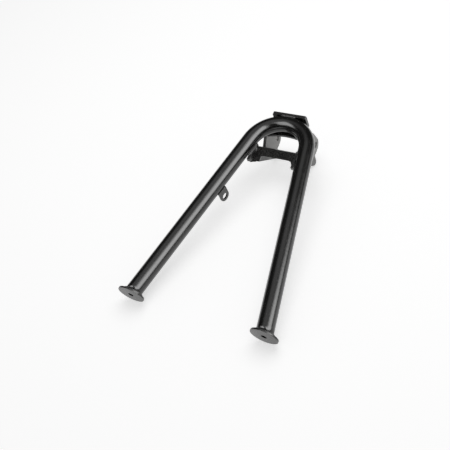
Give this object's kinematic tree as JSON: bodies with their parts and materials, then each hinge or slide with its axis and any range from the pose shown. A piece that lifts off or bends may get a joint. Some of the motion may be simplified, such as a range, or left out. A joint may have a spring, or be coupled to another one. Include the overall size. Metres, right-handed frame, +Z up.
{
  "type": "motorcycle centre stand",
  "caption": "Bent-tube centre stand with flared foot discs, a welded pivot bracket with a stop plate under the bend, and a lug for a return spring.",
  "frame": {"origin": "middle of the pivot axis, halfway between the two cheeks", "axes": "+X to the right along the pivot axis, +Y from the feet towards the bend, +Z up, with the stand lying on the floor at rest"},
  "size_m": [0.2548, 0.3623, 0.0905],
  "materials": {
    "gloss_paint": "glossy black paint on steel tube",
    "foot_paint": "satin black paint on steel discs",
    "bracket_paint": "glossy black paint on steel plate",
    "weld_paint": "black paint over weld beads"
  },
  "bodies": {
    "root": {"stand_tube": "gloss_paint", "foot_left": "foot_paint", "foot_right": "foot_paint", "cheek_left": "bracket_paint", "cheek_right": "bracket_paint", "cross_web": "bracket_paint", "stop_plate": "bracket_paint", "spring_lug": "bracket_paint", "weld_foot_left": "weld_paint", "weld_foot_right": "weld_paint", "weld_leg_left": "weld_paint", "weld_leg_right": "weld_paint", "weld_bend_left": "weld_paint", "weld_bend_right": "weld_paint", "weld_web_left": "weld_paint", "weld_web_right": "weld_paint", "weld_stop_upper": "weld_paint", "weld_stop_lower": "weld_paint", "weld_lug": "weld_paint"}
  },
  "joints": []
}
